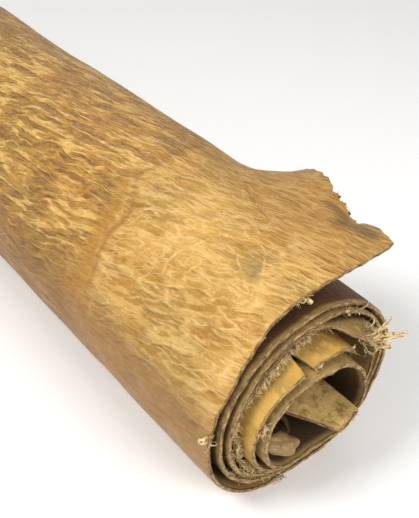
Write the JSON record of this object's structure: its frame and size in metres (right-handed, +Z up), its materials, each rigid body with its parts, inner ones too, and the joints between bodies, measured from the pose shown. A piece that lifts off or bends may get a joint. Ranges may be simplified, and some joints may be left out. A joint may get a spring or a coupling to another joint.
{
  "type": "rolled rawhide",
  "caption": "Whole rawhide rolled up loosely on its side, with a flap of its outer corner standing off the roll and an uneven, frayed near edge.",
  "frame": {"origin": "on the floor plane, under the axis of the roll, halfway along the hide", "axes": "+Y along the roll, away from the end that shows its turns; +Z up; +X across the roll, towards the lifted flap"},
  "size_m": [0.1844, 0.939, 0.1789],
  "materials": {
    "rawhide": "untanned dried hide, golden tan, wrinkled and slightly glossy outside, matt and fibrous at its edges"
  },
  "bodies": {
    "root": {"hide": "rawhide"}
  },
  "joints": []
}
